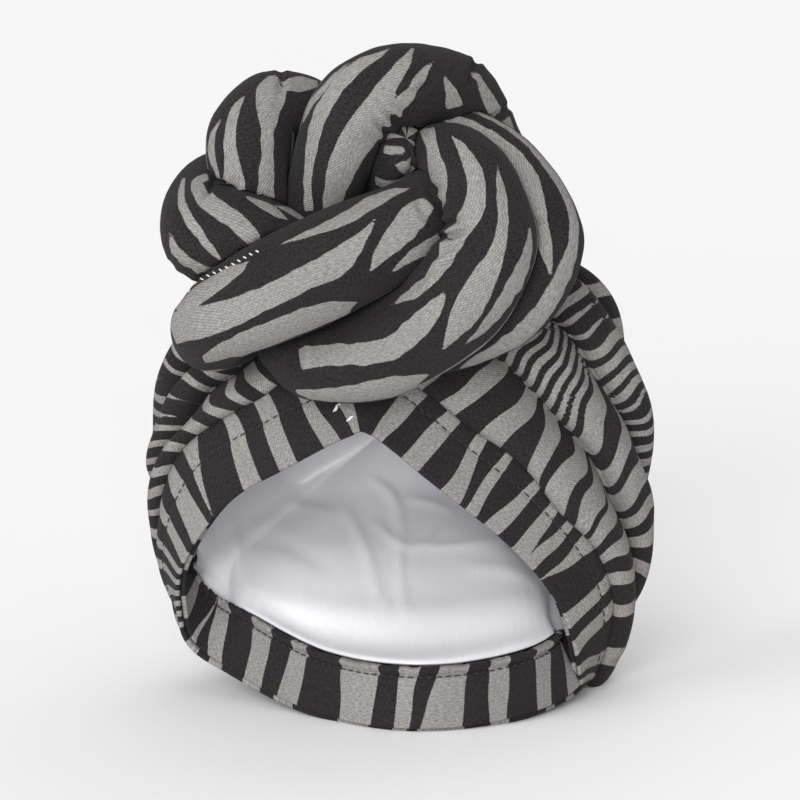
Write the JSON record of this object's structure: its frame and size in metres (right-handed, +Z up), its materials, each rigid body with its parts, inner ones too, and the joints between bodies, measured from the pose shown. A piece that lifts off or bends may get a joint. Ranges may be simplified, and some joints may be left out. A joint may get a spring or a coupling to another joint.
{
  "type": "turban headwrap",
  "caption": "Pre-tied pleated turban headwrap in striped cloth with a padded rosette knot on the front and a satin lining, set down with its face opening forward.",
  "frame": {"origin": "centre of the bottom of the box, on the surface it rests on", "axes": "+Z up, the face opening looks along -Y, +X to the right as seen from the front"},
  "size_m": [0.2268, 0.1734, 0.2896],
  "materials": {
    "striped_cloth": "matte grey cloth with dark zebra stripes",
    "white_satin": "glossy white satin"
  },
  "bodies": {
    "root": {"crown_shell": "striped_cloth", "hem_facing": "striped_cloth", "lining": "white_satin", "front_band": "striped_cloth", "right_inner_loop": "striped_cloth", "right_outer_loop": "striped_cloth", "top_arch": "striped_cloth", "left_low_loop": "striped_cloth", "left_loop": "striped_cloth", "knot_core": "striped_cloth", "back_wrap": "striped_cloth"}
  },
  "joints": []
}
